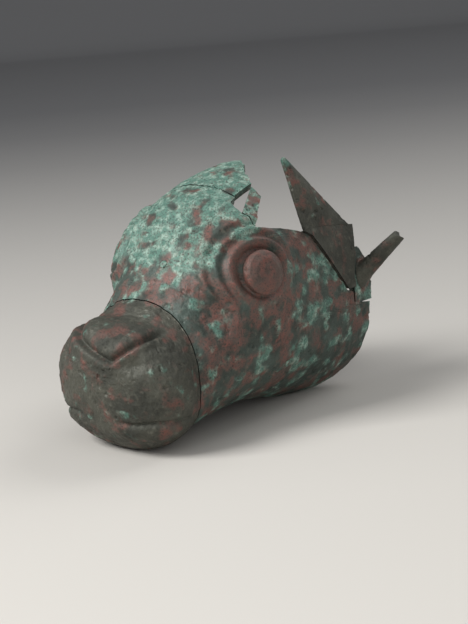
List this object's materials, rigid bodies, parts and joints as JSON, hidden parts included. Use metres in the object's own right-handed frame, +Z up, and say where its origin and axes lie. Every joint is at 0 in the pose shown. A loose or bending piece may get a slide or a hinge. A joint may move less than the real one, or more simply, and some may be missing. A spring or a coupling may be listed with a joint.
{
  "type": "bovine head vessel fragment",
  "caption": "Broken hollow-cast bronze head of a bovine, with the muzzle, face, eyes, horn root, horn shard and ear stub of a vessel.",
  "frame": {"origin": "bottom centre of the bounding box, on the surface that the head stands on", "axes": "+Z up, the nose towards -Y, the animal's left side towards +X"},
  "size_m": [0.0846, 0.125, 0.094],
  "materials": {
    "olive_bronze": "smooth dark olive-grey corroded bronze",
    "crusted_bronze": "green malachite crust over corroded bronze",
    "red_bronze": "pitted red-brown cuprite over corroded bronze",
    "dark_bronze": "dark brown-black corroded bronze"
  },
  "bodies": {
    "root": {"muzzle_cap": "olive_bronze", "face_shell": "crusted_bronze", "poll_crest": "crusted_bronze", "horn_root_flap": "red_bronze", "horn_root": "olive_bronze", "horn_shard": "olive_bronze", "temple_fragment": "crusted_bronze", "near_ear": "olive_bronze", "throat_plate": "dark_bronze", "near_eye_boss": "red_bronze", "far_eye_boss": "red_bronze", "core_spacer_brow": "crusted_bronze", "core_spacer_cheek": "red_bronze"}
  },
  "joints": []
}
